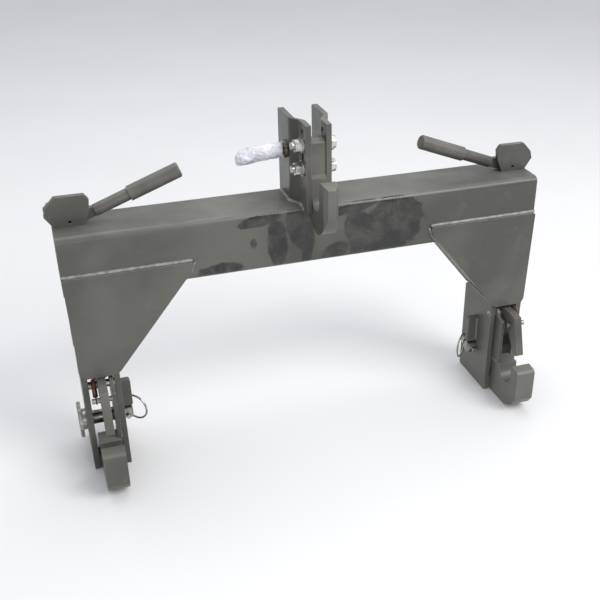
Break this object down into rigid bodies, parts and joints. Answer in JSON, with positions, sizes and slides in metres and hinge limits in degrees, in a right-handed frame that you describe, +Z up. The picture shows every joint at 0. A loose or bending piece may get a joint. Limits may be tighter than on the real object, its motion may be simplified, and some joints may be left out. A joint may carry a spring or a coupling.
{
  "type": "three point quick hitch",
  "caption": "Tractor quick hitch: box beam with two hooked legs, a top hook between mast plates, and hand levers that open spring latches over the lower hooks.",
  "frame": {"origin": "middle of the footprint, on the level of the leg plates' and lower hooks' bottoms", "axes": "+X across the tractor, towards the right leg seen from the hooks' side; -Y towards the implement, where the hooks open; +Z up"},
  "size_m": [0.7696, 0.186, 0.526],
  "materials": {
    "frame_paint": "dark warm grey semi-gloss paint over welded steel",
    "hook_paint": "the same grey paint on forged steel",
    "lever_paint": "grey paint on bar and plate",
    "grip": "dark grey dipped vinyl sleeve",
    "zinc": "bright zinc plating",
    "pin_steel": "zinc plated pin steel",
    "spring_steel": "browned spring wire",
    "wrap": "white packing film wrapped round the handle"
  },
  "bodies": {
    "frame": {"beam_end_cap_left": "frame_paint", "beam_end_cap_right": "frame_paint", "crossbeam": "frame_paint", "gusset_front_left": "frame_paint", "gusset_front_right": "frame_paint", "gusset_rear_left": "frame_paint", "gusset_rear_right": "frame_paint", "gusset_web_left": "frame_paint", "gusset_web_right": "frame_paint", "hook_bolt_nuts": "zinc", "hook_bolt_washers": "zinc", "hook_bolts": "zinc", "latch_guide_left": "frame_paint", "latch_guide_right": "frame_paint", "latch_pivot_pin_left": "pin_steel", "latch_pivot_pin_right": "pin_steel", "latch_spring_left": "spring_steel", "latch_spring_right": "spring_steel", "lever_bracket_left": "frame_paint", "lever_bracket_right": "frame_paint", "lever_pivot_nut_left": "zinc", "lever_pivot_nut_right": "zinc", "lever_pivot_stud_left": "pin_steel", "lever_pivot_stud_right": "pin_steel", "linchpin_guard_left": "frame_paint", "linchpin_guard_right": "frame_paint", "lower_hook_left": "hook_paint", "lower_hook_right": "hook_paint", "mast_plate_left": "frame_paint", "mast_plate_right": "frame_paint", "side_plate_inner_left": "frame_paint", "side_plate_inner_right": "frame_paint", "side_plate_outer_left": "frame_paint", "side_plate_outer_right": "frame_paint", "spring_anchor_pin_left": "pin_steel", "spring_anchor_pin_right": "pin_steel", "top_hook": "hook_paint"},
    "lever_left": {"lever_crank_left": "lever_paint", "lever_rod_left": "lever_paint", "lever_grip_left": "grip"},
    "link_left": {"link_rod_left": "lever_paint"},
    "latch_arm_left": {"latch_left": "lever_paint", "latch_cross_pin_left": "pin_steel"},
    "lower_pin_left": {"lower_link_pin_left": "pin_steel", "link_pin_collar_left": "zinc", "linchpin_left": "zinc"},
    "ring_left": {"linchpin_ring_left": "zinc"},
    "lever_right": {"lever_crank_right": "lever_paint", "lever_rod_right": "lever_paint", "lever_grip_right": "grip"},
    "link_right": {"link_rod_right": "lever_paint"},
    "latch_arm_right": {"latch_right": "lever_paint", "latch_cross_pin_right": "pin_steel"},
    "lower_pin_right": {"lower_link_pin_right": "pin_steel", "link_pin_collar_right": "zinc", "linchpin_right": "zinc"},
    "ring_right": {"linchpin_ring_right": "zinc"},
    "top_pin": {"top_link_pin": "pin_steel", "handle_wrap": "wrap", "top_pin_clip": "zinc"}
  },
  "joints": [
    {"name": "release_lever_left", "type": "hinge", "parent": "frame", "child": "lever_left", "pos_m": [-0.373, 0.048, 0.418], "axis": [0, -1, 0], "range_deg": [0, 40]},
    {"name": "link_lift_left", "type": "slide", "parent": "frame", "child": "link_left", "axis": [0, 0, 1], "range_m": [0, 0.0219]},
    {"name": "latch_swing_left", "type": "hinge", "parent": "frame", "child": "latch_arm_left", "pos_m": [-0.343, 0.002, 0.152], "axis": [1, 0, 0], "range_deg": [0, 31.5], "stiffness_Nm_per_rad": 1.2, "springref_deg": -28.65, "deforming": ["latch_spring_left"]},
    {"name": "lower_pin_turn_left", "type": "hinge", "parent": "frame", "child": "lower_pin_left", "pos_m": [-0.343, 0.045, 0.065], "axis": [1, 0, 0], "range_deg": [-10, 10]},
    {"name": "linchpin_ring_flip_left", "type": "hinge", "parent": "lower_pin_left", "child": "ring_left", "pos_m": [-0.3075, 0.067, 0.065], "axis": [0, 0, 1], "range_deg": [0, 110]},
    {"name": "release_lever_right", "type": "hinge", "parent": "frame", "child": "lever_right", "pos_m": [0.373, 0.048, 0.418], "axis": [0, 1, 0], "range_deg": [0, 40]},
    {"name": "link_lift_right", "type": "slide", "parent": "frame", "child": "link_right", "axis": [0, 0, 1], "range_m": [0, 0.0219]},
    {"name": "latch_swing_right", "type": "hinge", "parent": "frame", "child": "latch_arm_right", "pos_m": [0.343, 0.002, 0.152], "axis": [1, 0, 0], "range_deg": [0, 31.5], "stiffness_Nm_per_rad": 1.2, "springref_deg": -28.65, "deforming": ["latch_spring_right"]},
    {"name": "lower_pin_turn_right", "type": "hinge", "parent": "frame", "child": "lower_pin_right", "pos_m": [0.343, 0.045, 0.065], "axis": [1, 0, 0], "range_deg": [-10, 10]},
    {"name": "linchpin_ring_flip_right", "type": "hinge", "parent": "lower_pin_right", "child": "ring_right", "pos_m": [0.3075, 0.067, 0.065], "axis": [0, 0, -1], "range_deg": [0, 110]},
    {"name": "top_pin_spin", "type": "hinge", "parent": "frame", "child": "top_pin", "pos_m": [0, 0.042, 0.475], "axis": [1, 0, 0], "continuous": true}
  ],
  "couplings": [
    {"joint": "link_lift_left", "follows": "release_lever_left", "m_per_rad": 0.031283},
    {"joint": "latch_swing_left", "follows": "release_lever_left", "ratio": 0.786},
    {"joint": "link_lift_right", "follows": "release_lever_right", "m_per_rad": 0.031283},
    {"joint": "latch_swing_right", "follows": "release_lever_right", "ratio": 0.786}
  ]
}
